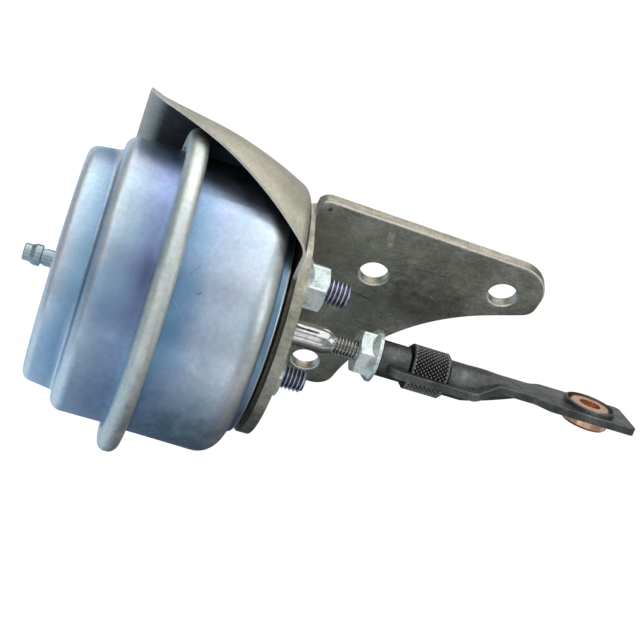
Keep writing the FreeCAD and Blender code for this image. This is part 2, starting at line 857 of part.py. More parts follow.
def adjuster_nut():
    end = adjuster_start + adjuster_length
    c = adjuster_chamfer
    bore = rod_thread_radius + thread_clearance
    points = [
        (adjuster_start, bore),
        (adjuster_start, adjuster_radius - c),
        (adjuster_start + c, adjuster_radius),
        (end - c, adjuster_radius),
        (end, adjuster_radius - c),
        (end, bore),
    ]
    return turned(points)


def eye_bush():
    foot = eye_top - strip_thickness - bush_below
    top = eye_top + collar_height - bush_sink
    points = [
        (bush_bore, foot),
        (bush_radius - bush_foot_chamfer, foot),
        (bush_radius, foot + bush_foot_chamfer),
        (bush_radius, top - bush_chamfer),
        (bush_radius - bush_chamfer, top),
        (bush_bore, top),
    ]
    bush = outline(points, in_side).revolve(V(0, 0, 0), V(0, 0, 1), 360)
    bush.translate(V(eye_depth, 0, 0))
    return roll(bush)


def shift(shape):
    """Move a piece so that the first ear hole, at the mounting face, is the origin."""
    moved = shape.copy()
    moved.translate(V(-ear_hole_1[0], -mounting_face, -ear_hole_1[1]))
    return moved


PIECES = [
    cover_cup, body_cup, crimp_ring, hose_nipple, stud_plate, mounting_studs, stud_nuts,
    heat_shield, bracket, diaphragm, piston_cup, diaphragm_retainer, rivet_washer, spring_seat,
    return_spring, rod, guide_bush, rod_seal, seal_retainer, jam_nut, link, adjuster_nut, eye_bush,
]
for make in PIECES:
    piece = shift(make())
    box = piece.BoundBox
    piece.exportStep("parts/%s.step" % make.__name__)
    print("%-20s solids %d valid %s volume %9.1f  X %6.1f %6.1f  Y %6.1f %6.1f  Z %6.1f %6.1f" % (
        make.__name__, len(piece.Solids), piece.isValid(), piece.Volume,
        box.XMin, box.XMax, box.YMin, box.YMax, box.ZMin, box.ZMax))
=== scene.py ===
import math

import bpy
import numpy as np
from mathutils import Matrix, Vector


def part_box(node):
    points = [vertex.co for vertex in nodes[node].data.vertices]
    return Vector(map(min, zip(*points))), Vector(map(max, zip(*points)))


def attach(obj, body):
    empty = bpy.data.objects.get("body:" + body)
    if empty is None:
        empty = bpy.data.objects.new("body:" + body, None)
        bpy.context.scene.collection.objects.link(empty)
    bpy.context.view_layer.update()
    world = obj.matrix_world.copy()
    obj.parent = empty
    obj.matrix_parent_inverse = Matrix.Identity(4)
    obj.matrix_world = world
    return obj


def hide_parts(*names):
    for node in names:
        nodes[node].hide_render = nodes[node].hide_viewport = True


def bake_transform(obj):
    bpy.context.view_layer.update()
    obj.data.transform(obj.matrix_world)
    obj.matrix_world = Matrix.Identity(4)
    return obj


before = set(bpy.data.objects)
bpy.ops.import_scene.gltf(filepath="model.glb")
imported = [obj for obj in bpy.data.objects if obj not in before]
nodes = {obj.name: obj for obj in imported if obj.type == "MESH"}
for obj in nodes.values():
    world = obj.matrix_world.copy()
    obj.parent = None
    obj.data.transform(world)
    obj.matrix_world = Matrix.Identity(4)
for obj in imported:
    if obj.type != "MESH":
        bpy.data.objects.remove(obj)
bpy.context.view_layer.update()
scene = bpy.context.scene
scene.view_settings.view_transform = "Standard"

MM = 0.001
SHARP_EDGE = math.radians(38)
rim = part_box("crimp_ring")
# The rod axis at the middle of the rim, from which the part's places are counted.
AXIS = np.array([(rim[0][k] + rim[1][k]) / 2 for k in range(3)])


def rig(x, y, z):
    """A place in millimetres from the rim's middle, along the rod axis, in the frame's metres."""
    return Vector((AXIS[0] + x * MM, AXIS[1] + y * MM, AXIS[2] + z * MM))


# --- camera ---------------------------------------------------------------------------------------
# The view's three axes and its place, in front of the part and above it.
camera_data = bpy.data.cameras.new("camera")
camera_data.lens = 70.3
camera_data.sensor_width = 36.0
camera_data.clip_start = 0.01
camera_data.clip_end = 20.0
camera = bpy.data.objects.new("camera", camera_data)
scene.collection.objects.link(camera)
view_right = Vector((0.94082, 0.08393, 0.32834))
view_up = Vector((-0.28495, 0.72037, 0.63235))
view_back = -Vector((0.18345, 0.68849, -0.70166))
turn = Matrix((view_right, view_up, view_back)).transposed()
camera.matrix_world = Matrix.Translation(rig(-14.457, -199.81, 209.903)) @ turn.to_4x4()
scene.camera = camera


# --- meshes from grids ----------------------------------------------------------------------------
def skin(name, places, body, material, node, loop=False):
    """A surface through a grid of places, shape (stations, around, 3). Each station's ring is closed.
    The first and last stations are filled to their middles, or joined to each other when loop is
    set. The faces are reversed if the volume they enclose, a sixth of the sum of the corners' triple
    products, comes out negative, so that they point outwards. body is the body it rides on, or a
    tuple of two bodies and two places, which are not used: such a piece is left unattached."""
    stations, around = places.shape[:2]
    verts = places.reshape(-1, 3)
    i, j = np.meshgrid(np.arange(stations if loop else stations - 1), np.arange(around), indexing="ij")
    after, beside = (i + 1) % stations, (j + 1) % around
    quads = np.stack([i * around + j, i * around + beside, after * around + beside, after * around + j], -1)
    quads = quads.reshape(-1, 4)
    caps = np.empty((0, 3), int)
    if not loop:
        first, last = len(verts), len(verts) + 1
        verts = np.vstack([verts, places[0].mean(0), places[-1].mean(0)])
        ring = np.arange(around)
        following = (ring + 1) % around
        base = (stations - 1) * around
        caps = np.vstack([np.stack([following, ring, np.full(around, first)], -1),
                          np.stack([base + ring, base + following, np.full(around, last)], -1)])
    corners = verts[np.vstack([quads[:, [0, 1, 2]], quads[:, [0, 2, 3]], caps])]
    if np.einsum("ij,ij->", corners[:, 0], np.cross(corners[:, 1], corners[:, 2])) < 0:
        quads, caps = quads[:, ::-1], caps[:, ::-1]
    mesh = bpy.data.meshes.new(name)
    mesh.from_pydata(verts.tolist(), [], quads.tolist() + caps.tolist())
    mesh.validate()
    mesh.shade_smooth()
    mesh.set_sharp_from_angle(angle=SHARP_EDGE)
    piece = bpy.data.objects.new(name, mesh)
    scene.collection.objects.link(piece)
    mesh.materials.append(material)
    if isinstance(body, tuple):
        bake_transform(piece)
    else:
        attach(piece, body)
    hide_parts(node)
    return piece


def round_the_axis(x, radius, angle, up=0.0):
    """Cylinder coordinates round the rod axis, or round one that lies up above it: x along it,
    radius and angle across it."""
    shape = np.broadcast_arrays(x, radius * np.cos(angle), radius * np.sin(angle) + up)
    return np.stack(shape, -1) * MM + AXIS


def thread_radius(x, angle, start, end, crest, pitch):
    """Radius of a right-hand V thread: the crest radius less 0.61 of the pitch in the groove, a
    triangle wave of the turn with its crest and root flattened, fading out over both ends."""
    depth, root, flank = 0.61 * pitch, 0.2, 0.62
    phase = (x - start) / pitch - angle / (2 * np.pi)
    wave = np.abs(phase - np.floor(phase) - 0.5) * 2
    groove = 1 - np.clip((wave - root) / flank, 0, 1)
    fade = np.clip((x - start) / (0.8 * pitch), 0, 1) * np.clip((end - x) / (0.4 * pitch) + 1.0, 0, 1)
    return crest - depth * groove * fade


def profile_steps(points, step):
    """Stations along a turned profile: points (x, r) with more between them, step apart."""
    out = []
    for (x0, r0), (x1, r1) in zip(points[:-1], points[1:]):
        count = max(1, int(math.hypot(x1 - x0, r1 - r0) / step))
        share = np.arange(count)[:, None] / count
        out.append(np.array([[x0, r0]]) * (1 - share) + np.array([[x1, r1]]) * share)
    out.append(np.array([points[-1]]))
    return np.vstack(out)


# --- materials ------------------------------------------------------------------------------------
def new_material(name):
    """A material with one shader, and the Object coordinates that its patterns read."""
    made = bpy.data.materials.new(name)
    made.use_nodes = True
    tree = made.node_tree
    tree.nodes.clear()
    out = tree.nodes.new("ShaderNodeOutputMaterial")
    shader = tree.nodes.new("ShaderNodeBsdfPrincipled")
    tree.links.new(shader.outputs["BSDF"], out.inputs["Surface"])
    where = tree.nodes.new("ShaderNodeTexCoord").outputs["Object"]
    return made, tree, shader, where


def stretched(tree, where, scale):
    """Coordinates scaled along each axis, so that a pattern on them is drawn out or pressed."""
    node = tree.nodes.new("ShaderNodeMapping")
    node.inputs["Scale"].default_value = scale
    tree.links.new(where, node.inputs["Vector"])
    return node.outputs["Vector"]


def cloud(tree, where, scale, detail=3.0, rough=0.5, scales=None):
    """A noise value over Object coordinates, with size 1/scale metres."""
    node = tree.nodes.new("ShaderNodeTexNoise")
    node.inputs["Scale"].default_value = scale
    node.inputs["Detail"].default_value = detail
    node.inputs["Roughness"].default_value = rough
    tree.links.new(stretched(tree, where, scales) if scales else where, node.inputs["Vector"])
    return node.outputs["Fac"]


def ramp(tree, value, stops):
    """Colours along a value: stops of (place, colour)."""
    node = tree.nodes.new("ShaderNodeValToRGB")
    row = node.color_ramp.elements
    while len(row) < len(stops):
        row.new(0.5)
    for element, (place, colour) in zip(row, stops):
        element.position = place
        element.color = (*colour, 1)
    tree.links.new(value, node.inputs["Fac"])
    return node.outputs["Color"]


def shades(tree, where, scale, detail, rough, stops, scales=None):
    """Colours in clouds: stops of (noise value, colour)."""
    return ramp(tree, cloud(tree, where, scale, detail, rough, scales), stops)


def span(tree, value, low, high, start=0.3, stop=0.7):
    """A value brought from start..stop to low..high."""
    node = tree.nodes.new("ShaderNodeMapRange")
    node.inputs["From Min"].default_value = start
    node.inputs["From Max"].default_value = stop
    node.inputs["To Min"].default_value = low
    node.inputs["To Max"].default_value = high
    tree.links.new(value, node.inputs["Value"])
    return node.outputs["Result"]


def mixed(tree, share, one, two, way="MIX"):
    """Two colours mixed by a share, each of them a constant or a socket."""
    node = tree.nodes.new("ShaderNodeMix")
    node.data_type = "RGBA"
    node.blend_type = way
    for value, socket in ((share, node.inputs[0]), (one, node.inputs[6]), (two, node.inputs[7])):
        if isinstance(value, (tuple, float, int)):
            socket.default_value = (*value, 1) if isinstance(value, tuple) else value
        else:
            tree.links.new(value, socket)
    return node.outputs[2]


def bumps(tree, shader, parts):
    """Chained bump nodes: parts of (height value, strength, distance in metres)."""
    normal = None
    for height, strength, distance in parts:
        node = tree.nodes.new("ShaderNodeBump")
        node.inputs["Strength"].default_value = strength
        node.inputs["Distance"].default_value = distance
        tree.links.new(height, node.inputs["Height"])
        if normal:
            tree.links.new(normal, node.inputs["Normal"])
        normal = node.outputs["Normal"]
    tree.links.new(normal, shader.inputs["Normal"])


def maths(tree, kind, one, two=0.0):
    """One operation on two values, each of them a constant or a socket."""
    node = tree.nodes.new("ShaderNodeMath")
    node.operation = kind
    for value, socket in ((one, node.inputs[0]), (two, node.inputs[1])):
        if isinstance(value, (float, int)):
            socket.default_value = value
        else:
            tree.links.new(value, socket)
    return node.outputs[0]


def times(tree, *values):
    """The product of several values."""
    product = values[0]
    for value in values[1:]:
        product = maths(tree, "MULTIPLY", product, value)
    return product


def vectors(tree, kind, one, two=(0.0, 0.0, 0.0)):
    """One operation on two vectors, each of them a constant or a socket."""
    node = tree.nodes.new("ShaderNodeVectorMath")
    node.operation = kind
    for value, socket in ((one, node.inputs[0]), (two, node.inputs[1])):
        if isinstance(value, tuple):
            socket.default_value = value
        else:
            tree.links.new(value, socket)
    return node.outputs["Value" if kind in ("DOT_PRODUCT", "LENGTH") else "Vector"]


def parts_of(tree, vector):
    """The three parts of a vector."""
    node = tree.nodes.new("ShaderNodeSeparateXYZ")
    tree.links.new(vector, node.inputs[0])
    return node.outputs["X"], node.outputs["Y"], node.outputs["Z"]


def from_rim(tree, where):
    """Places in millimetres from the rim's middle, as the sizes here are given."""
    return vectors(tree, "MULTIPLY", vectors(tree, "SUBTRACT", where, tuple(AXIS.tolist())), (1 / MM,) * 3)


def facing(tree, direction, kind="Normal"):
    """How far the surface faces a direction, -1 to 1."""
    return vectors(tree, "DOT_PRODUCT", tree.nodes.new("ShaderNodeNewGeometry").outputs[kind], direction)


def stroke(tree, places, start, end, width):
    """1 on a thin line between two places seen from the front and 0 away from it: the distance to
    the segment in x and z, from 0.4 of the half width to all of it."""
    first, run = np.array(start, float), np.array(end, float) - np.array(start, float)
    off = vectors(tree, "SUBTRACT", places, tuple(first.tolist()))
    flat = vectors(tree, "MULTIPLY", off, (1.0, 0.0, 1.0))
    share = maths(tree, "DIVIDE", vectors(tree, "DOT_PRODUCT", flat, tuple(run.tolist())), float(run @ run))
    share = maths(tree, "MINIMUM", maths(tree, "MAXIMUM", share, 0.0), 1.0)
    node = tree.nodes.new("ShaderNodeVectorMath")
    node.operation = "SCALE"
    node.inputs[0].default_value = tuple(run.tolist())
    tree.links.new(share, node.inputs["Scale"])
    away = vectors(tree, "LENGTH", vectors(tree, "SUBTRACT", flat, node.outputs["Vector"]))
    return span(tree, away, 1.0, 0.0, width * 0.4, width)


def set_roughness(tree, shader, noise, low, high):
    """Roughness that wanders from low to high with a noise value."""
    tree.links.new(span(tree, noise, low, high), shader.inputs["Roughness"])


# Colour bands of the plate, partly its tint and partly painted highlights and shade along the can: share of
# the way along the can, colour.
CAN_TINT_AND_LIGHT_BANDS = [
    (0.03, (1.00, 1.00, 1.00)), (0.08, (0.73, 0.87, 0.88)), (0.145, (0.39, 0.51, 0.60)),
    (0.18, (0.98, 1.00, 1.00)), (0.24, (0.68, 0.74, 0.75)), (0.31, (0.50, 0.55, 0.65)),
    (0.385, (0.43, 0.49, 0.70)), (0.44, (0.66, 0.85, 1.00)), (0.5, (0.31, 0.45, 0.58)),
    (0.6, (0.54, 0.64, 0.73)), (0.73, (0.76, 0.80, 0.84)), (0.85, (1.00, 1.00, 1.00)),
    (0.93, (0.32, 0.43, 0.52)),
]

# Painted shade on the front of the can, beside the rim and across the cover: middle from the rim's middle,
# reach along the can and up, strength, colour.
CAN_PAINTED_SHADE = [
    ((-3.9, 0.0, 24.5), (4.8, 12.0), 0.95, (0.09, 0.11, 0.22)),
    ((4.6, 0.0, 19.0), (6.0, 17.0), 0.88, (0.13, 0.28, 0.44)),
    ((-9.2, 0.0, 19.0), (7.0, 15.0), 0.78, (0.19, 0.30, 0.47)),
    ((-17.0, 0.0, 15.0), (5.2, 22.0), 0.64, (0.20, 0.41, 0.60)),
]

# Marks of handling: start and end from the rim's middle, half width, strength, colour.
CAN_MARKS = [
    ((4.9, 0.0, 27.0), (6.4, 0.0, 28.2), 0.18, 0.35, (0.10, 0.14, 0.20)),
    ((2.8, 0.0, 23.4), (6.3, 0.0, 20.5), 0.14, 0.08, (0.80, 0.88, 0.94)),
    ((10.9, 0.0, 12.8), (12.6, 0.0, 11.4), 0.8, 0.13, (0.85, 0.90, 0.92)),
    ((7.4, 0.0, 24.9), (8.2, 0.0, 25.2), 0.2, 0.5, (0.08, 0.10, 0.18)),
]
BRACKET_MARKS = [
    ((47.0, 0.0, 2.3), (52.3, 0.0, 1.6), 0.24, 0.8, (0.10, 0.10, 0.09)),
    ((64.9, 0.0, 8.7), (67.2, 0.0, 7.8), 0.35, 0.6, (0.88, 0.86, 0.78)),
    ((33.2, 0.0, 25.2), (33.3, 0.0, 25.4), 0.7, 0.8, (0.07, 0.07, 0.07)),
]


def blue_zinc():
    """Blue-passivated zinc on drawn steel, with lavender and teal clouds and a soft grain. Bands along
    the can are partly the plating's tint and partly painted highlights and shade; the bends get a pale
    painted highlight, the lower part a painted reflection of the floor, and the front painted shade,
    deep violet beside the rim and bluer across the cover."""
    made, tree, shader, where = new_material("blue zinc plate")
    shader.inputs["Metallic"].default_value = 1.0
    places = from_rim(tree, where)
    x, y, z = parts_of(tree, places)
    hue = shades(tree, where, 34, 2.0, 0.5, [
        (0.30, (0.56, 0.73, 0.81)), (0.46, (0.67, 0.77, 0.86)),
        (0.56, (0.71, 0.73, 0.88)), (0.70, (0.60, 0.76, 0.82))], (1.4, 0.8, 0.8))
    left, right = -24.0, 28.0
    sway = times(tree, maths(tree, "SUBTRACT", cloud(tree, where, 40, 2.0, 0.5), 0.5), 4.5)
    along = span(tree, maths(tree, "ADD", x, sway), 0.0, 1.0, left, right)
    # The bands paint highlights and shade along the can, over the plating's tint.
    bands = ramp(tree, along, CAN_TINT_AND_LIGHT_BANDS)
    # Painted reflection of the floor: below the middle the bands are softened and turn violet towards the
    # bottom.
    painted_floor_reflection = mixed(tree, span(tree, z, 0.0, 1.0, -30.0, -12.0), (0.62, 0.62, 0.94), (0.64, 0.84, 1.0))
    calmer = mixed(tree, 0.55, bands, painted_floor_reflection)
    colour = mixed(tree, span(tree, z, 0.0, 1.0, -14.0, 12.0), calmer, bands)
    colour = mixed(tree, 1.0, hue, colour, "MULTIPLY")
    # Painted highlight: pale on the bends, where the surface turns between facing along the can and across
    # it.
    turned = maths(tree, "ABSOLUTE", facing(tree, (1.0, 0.0, 0.0)))
    bend = times(tree, span(tree, turned, 0.0, 0.55, 0.18, 0.45), span(tree, turned, 1.0, 0.0, 0.75, 0.97))
    colour = mixed(tree, times(tree, bend, 1.3), colour, (0.92, 0.96, 0.90))
    fleck = shades(tree, where, 900, 4.0, 0.7, [(0.30, (0.80, 0.80, 0.80)), (0.62, (1.0, 1.0, 1.0))])
    colour = mixed(tree, 0.8, colour, fleck, "MULTIPLY")
    # Painted shade: ragged dark patches on the front, beside the rim and across the cover.
    for middle, (run, rise), share, tint in CAN_PAINTED_SHADE:
        off = vectors(tree, "SUBTRACT", places, middle)
        away = vectors(tree, "LENGTH", vectors(tree, "MULTIPLY", off, (1 / run, 0.0, 1 / rise)))
        ragged = times(tree, maths(tree, "SUBTRACT", cloud(tree, where, 90, 3.0, 0.6), 0.5), 0.9)
        deep = span(tree, maths(tree, "ADD", away, ragged), 1.0, 0.0, 0.05, 1.0)
        colour = mixed(tree, times(tree, deep, span(tree, y, share, 0.0, -12.0, 0.0)), colour, tint)
    front = span(tree, y, 1.0, 0.0, -2.0, 2.0)
    for start, end, width, share, tint in CAN_MARKS:
        mark = stroke(tree, places, start, end, width)
        colour = mixed(tree, times(tree, mark, share, front), colour, tint)
    tree.links.new(colour, shader.inputs["Base Color"])
    set_roughness(tree, shader, cloud(tree, where, 260, 4.0, 0.6), 0.32, 0.46)
    bumps(tree, shader, [
        (cloud(tree, where, 1500, 3.0, 0.6), 0.12, 0.0002),
        (cloud(tree, where, 150, 3.0, 0.5), 0.12, 0.0008)])
    return made


def rim_zinc():
    """The rolled rim: the same plate rubbed to a pale grey-green."""
    made, tree, shader, where = new_material("rim zinc")
    shader.inputs["Metallic"].default_value = 1.0
    hue = shades(tree, where, 90, 4.0, 0.6, [(0.3, (0.60, 0.67, 0.66)), (0.7, (0.78, 0.81, 0.74))])
    speck = shades(tree, where, 700, 4.0, 0.7, [(0.36, (0.62, 0.62, 0.60)), (0.52, (1.0, 1.0, 1.0))])
    tree.links.new(mixed(tree, 0.35, hue, speck, "MULTIPLY"), shader.inputs["Base Color"])
    set_roughness(tree, shader, cloud(tree, where, 420, 4.0, 0.6), 0.42, 0.60)
    bumps(tree, shader, [(cloud(tree, where, 900, 4.0, 0.6), 0.16, 0.0003)])
    return made


def rolled_grain(tree, shader, where, low=0.34, high=0.52):
    """Pitted skin of rolled steel: a spread of roughness and bumps, returned with its flecks."""
    set_roughness(tree, shader, cloud(tree, where, 500, 4.0, 0.6), low, high)
    bumps(tree, shader, [
        (cloud(tree, where, 1400, 4.0, 0.65), 0.26, 0.0003),
        (cloud(tree, where, 300, 3.0, 0.6, (0.25, 1.0, 1.6)), 0.10, 0.0004)])
    return shades(tree, where, 1300, 4.0, 0.7, [(0.34, (0.62, 0.62, 0.62)), (0.60, (1.0, 1.0, 1.0))])


def bracket_steel():
    """Rolled steel of the bracket: dark warm grey on its faces with paler clouds, tan where the
    blanking tore its upper edge, dull round the flange, a painted highlight along the near face's
    rounded lip, and a few marks of handling on the ear."""
    made, tree, shader, where = new_material("bracket steel")
    shader.inputs["Metallic"].default_value = 1.0
    places = from_rim(tree, where)
    fleck = rolled_grain(tree, shader, where)
    face = shades(tree, where, 55, 6.0, 0.7, [
        (0.34, (0.34, 0.345, 0.275)), (0.5, (0.49, 0.495, 0.405)), (0.66, (0.79, 0.79, 0.67))])
    torn = shades(tree, where, 400, 4.0, 0.7, [
        (0.35, (0.25, 0.22, 0.17)), (0.65, (0.44, 0.40, 0.32))], (0.2, 2.0, 1.0))
    colour = mixed(tree, span(tree, facing(tree, (0.0, 0.0, 1.0)), 0.0, 1.0, 0.55, 0.8), face, torn)
    sideways = maths(tree, "ABSOLUTE", facing(tree, (1.0, 0.0, 0.0)))
    flange_edge = times(tree, span(tree, parts_of(tree, places)[0], 1.0, 0.0, 30.4, 31.2),
                        span(tree, sideways, 1.0, 0.0, 0.4, 0.7))
    blanked = shades(tree, where, 220, 4.0, 0.7, [(0.38, (0.30, 0.295, 0.235)), (0.62, (0.52, 0.51, 0.42))])
    colour = mixed(tree, times(tree, flange_edge, 0.8), colour, blanked)
    # Painted highlight along the near face's rounded lip, where it turns from facing the front.
    towards = facing(tree, (0.0, -1.0, 0.0))
    lip = times(tree, span(tree, towards, 0.0, 1.0, 0.35, 0.6), span(tree, towards, 1.0, 0.0, 0.88, 0.97),
                maths(tree, "SUBTRACT", 1.0, flange_edge))
    colour = mixed(tree, lip, colour, (0.92, 0.90, 0.82))
    near = span(tree, towards, 0.0, 1.0, 0.5, 0.9)
    scuff = stroke(tree, places, (48.9, 0.0, 24.0), (49.8, 0.0, 20.4), 1.0)
    patchy = span(tree, cloud(tree, where, 900, 4.0, 0.7), 0.1, 0.9, 0.36, 0.54)
    colour = mixed(tree, times(tree, scuff, near, patchy), colour, (0.85, 0.80, 0.70))
    for start, end, width, share, tint in BRACKET_MARKS:
        mark = stroke(tree, places, start, end, width)
        colour = mixed(tree, times(tree, mark, near, share), colour, tint)
    tree.links.new(mixed(tree, 0.7, colour, fleck, "MULTIPLY"), shader.inputs["Base Color"])
    return made


def shield_steel():
    """Thin sheet of the heat shield: pale tan outside, painted paler for the light that falls on it;
    painted shade inside but for a painted lit strip along the back edge, painted shade round its
    clamped flange, and bright along the cut near edge."""
    made, tree, shader, where = new_material("shield steel")
    places = from_rim(tree, where)
    x = parts_of(tree, places)[0]
    fleck = rolled_grain(tree, shader, where, 0.38, 0.56)
    # The sheet's own tan, painted paler than the bracket's steel for the light that falls on its outer face.
    outside = shades(tree, where, 45, 4.0, 0.6, [
        (0.3, (0.42, 0.40, 0.30)), (0.7, (0.72, 0.68, 0.54))], (0.5, 1.0, 1.0))
    # Painted shade inside the hood, near black towards the flange, with a painted lit strip along the back
    # edge.
    inside = ramp(tree, span(tree, x, 0.0, 1.0, -13.5, -3.0), [
        (0.0, (0.80, 0.78, 0.70)), (0.3, (0.36, 0.35, 0.32)),
        (0.5, (0.04, 0.04, 0.038)), (1.0, (0.012, 0.012, 0.012))])
    radial = vectors(tree, "NORMALIZE", vectors(tree, "MULTIPLY", places, (0.0, 1.0, 1.0)))
    inwards = span(tree, facing(tree, radial), 1.0, 0.0, -0.6, -0.2)
    hood = times(tree, inwards, span(tree, x, 1.0, 0.0, 24.0, 27.0))
    colour = mixed(tree, hood, outside, inside)
    # Painted shade round the clamped flange, between the can and the bracket plate.
    colour = mixed(tree, span(tree, x, 0.0, 0.85, 26.9, 27.2), colour, (0.05, 0.05, 0.04))
    near_edge = (-0.593, -0.805, 0.0)
    cut = span(tree, facing(tree, near_edge, "True Normal"), 0.0, 1.0, 0.96, 0.99)
    colour = mixed(tree, cut, colour, (0.92, 0.89, 0.80))
    # Less metallic on the painted lit strip inside and on the cut near edge.
    strip = times(tree, hood, span(tree, x, 0.75, 0.0, -13.0, -8.5))
    bare = maths(tree, "SUBTRACT", maths(tree, "SUBTRACT", 1.0, strip), cut)
    tree.links.new(bare, shader.inputs["Metallic"])
    tree.links.new(mixed(tree, 0.6, colour, fleck, "MULTIPLY"), shader.inputs["Base Color"])
    return made


def by_radius(name, groove, crest, low, high, centre=0.0, roughness=(0.24, 0.40), metallic=1.0):
    """A metal whose colour runs from painted shade in the grooves to painted highlights on the crests:
    low and high are radii in millimetres round the rod axis, or round the two axes that lie centre
    above and below it."""
    made, tree, shader, where = new_material(name)
    shader.inputs["Metallic"].default_value = metallic
    y, z = parts_of(tree, from_rim(tree, where))[1:]
    up = maths(tree, "SUBTRACT", maths(tree, "ABSOLUTE", z), centre)
    radius = maths(tree, "SQRT", maths(tree, "ADD", times(tree, y, y), times(tree, up, up)))
    # Painted shade in the grooves and painted highlight on the crests, by the radius.
    colour = mixed(tree, span(tree, radius, 0.0, 1.0, low, high), groove, crest)
    grime = shades(tree, where, 500, 4.0, 0.7, [(0.35, (0.6, 0.6, 0.6)), (0.6, (1.0, 1.0, 1.0))])
    tree.links.new(mixed(tree, 0.7, colour, grime, "MULTIPLY"), shader.inputs["Base Color"])
    set_roughness(tree, shader, cloud(tree, where, 450, 3.0, 0.6), *roughness)
    bumps(tree, shader, [(cloud(tree, where, 900, 4.0, 0.6), 0.12, 0.0003)])
    return made


def nut_finish(name, centre, turn):
    """Pale zinc with grey flecks and a painted highlight along the hexagon's six edges, which lie at
    turn degrees and every 60 on, round the rod axis or round the two axes centre above and below it."""
    made, tree, shader, where = new_material(name)
    shader.inputs["Metallic"].default_value = 0.6
    y, z = parts_of(tree, from_rim(tree, where))[1:]
    up = maths(tree, "SUBTRACT", z, times(tree, maths(tree, "SIGN", z), centre))
    sixth = math.pi / 3
    angle = maths(tree, "SUBTRACT", maths(tree, "ARCTAN2", up, y), math.radians(turn) - 10 * sixth)
    within = maths(tree, "MODULO", maths(tree, "ADD", angle, sixth / 2), sixth)
    off = maths(tree, "ABSOLUTE", maths(tree, "SUBTRACT", within, sixth / 2))
    edge = span(tree, off, 1.0, 0.0, 0.02, 0.09)
    base = shades(tree, where, 300, 5.0, 0.7, [
        (0.36, (0.48, 0.58, 0.55)), (0.48, (0.74, 0.82, 0.79)), (0.64, (0.88, 0.94, 0.91))])
    fleck = shades(tree, where, 1700, 3.0, 0.7, [(0.34, (0.45, 0.50, 0.48)), (0.46, (1.0, 1.0, 1.0))])
    colour = mixed(tree, 0.7, base, fleck, "MULTIPLY")
    # Painted highlight along the hexagon's edges.
    colour = mixed(tree, times(tree, edge, 0.8), colour, (0.97, 0.99, 0.97))
    tree.links.new(colour, shader.inputs["Base Color"])
    set_roughness(tree, shader, cloud(tree, where, 450, 3.0, 0.6), 0.20, 0.36)
    bumps(tree, shader, [(cloud(tree, where, 900, 4.0, 0.6), 0.2, 0.0003)])
    return made


def black_phosphate():
    """Blackened pressed steel of the link: near black with grey-green rubbed clouds."""
    made, tree, shader, where = new_material("black phosphate")
    shader.inputs["Metallic"].default_value = 0.75
    base = shades(tree, where, 120, 5.0, 0.65, [
        (0.36, (0.075, 0.079, 0.075)), (0.56, (0.15, 0.156, 0.147)), (0.74, (0.32, 0.33, 0.31))])
    fleck = shades(tree, where, 1500, 4.0, 0.7, [(0.36, (0.5, 0.5, 0.5)), (0.62, (1.0, 1.0, 1.0))])
    tree.links.new(mixed(tree, 0.7, base, fleck, "MULTIPLY"), shader.inputs["Base Color"])
    set_roughness(tree, shader, cloud(tree, where, 420, 4.0, 0.65), 0.26, 0.46)
    bumps(tree, shader, [
        (cloud(tree, where, 1700, 4.0, 0.65), 0.30, 0.0003),
        (cloud(tree, where, 260, 3.0, 0.6), 0.16, 0.0008)])
    return made


def plain_finish(name, dark, light, roughness, metallic=1.0):
    """A metal or rubber with two close colours in clouds, a roughness span and a fine grain."""
    made, tree, shader, where = new_material(name)
    shader.inputs["Metallic"].default_value = metallic
    colour = shades(tree, where, 180, 4.0, 0.6, [(0.3, dark), (0.7, light)])
    tree.links.new(colour, shader.inputs["Base Color"])
    set_roughness(tree, shader, cloud(tree, where, 450, 3.0, 0.6), *roughness)
    bumps(tree, shader, [(cloud(tree, where, 900, 4.0, 0.6), 0.12, 0.0003)])
    return made


STUD_OFFSET = 16.0                  # the studs lie this far above and below the rod axis

can = blue_zinc()
rim_plate = rim_zinc()
nipple_zinc = plain_finish("nipple zinc", (0.24, 0.33, 0.37), (0.42, 0.50, 0.52), (0.22, 0.38))
rolled = bracket_steel()
shield_sheet = shield_steel()
stud_nut_zinc = nut_finish("pale zinc of the stud nuts", STUD_OFFSET, 20.0)
jam_nut_zinc = nut_finish("pale zinc of the jam nut", 0.0, 15.0)
stud_zinc = by_radius("blue stud zinc", (0.16, 0.15, 0.26), (0.80, 0.81, 0.90), 2.5, 2.95, STUD_OFFSET)
bright = by_radius("bright rod", (0.30, 0.30, 0.28), (0.74, 0.74, 0.70), 2.05, 2.40, roughness=(0.08, 0.18))
black = black_phosphate()
knurl_black = by_radius("knurl black", (0.004, 0.004, 0.004), (0.33, 0.34, 0.32), 5.24, 5.58,
                        roughness=(0.22, 0.40), metallic=0.8)
bronze = plain_finish("bush bronze", (0.80, 0.43, 0.25), (1.0, 0.68, 0.46), (0.20, 0.36))
rubber = plain_finish("rubber", (0.015, 0.015, 0.016), (0.03, 0.03, 0.032), (0.55, 0.75), metallic=0.0)
inner = plain_finish("inner steel", (0.42, 0.43, 0.44), (0.56, 0.57, 0.58), (0.3, 0.45))

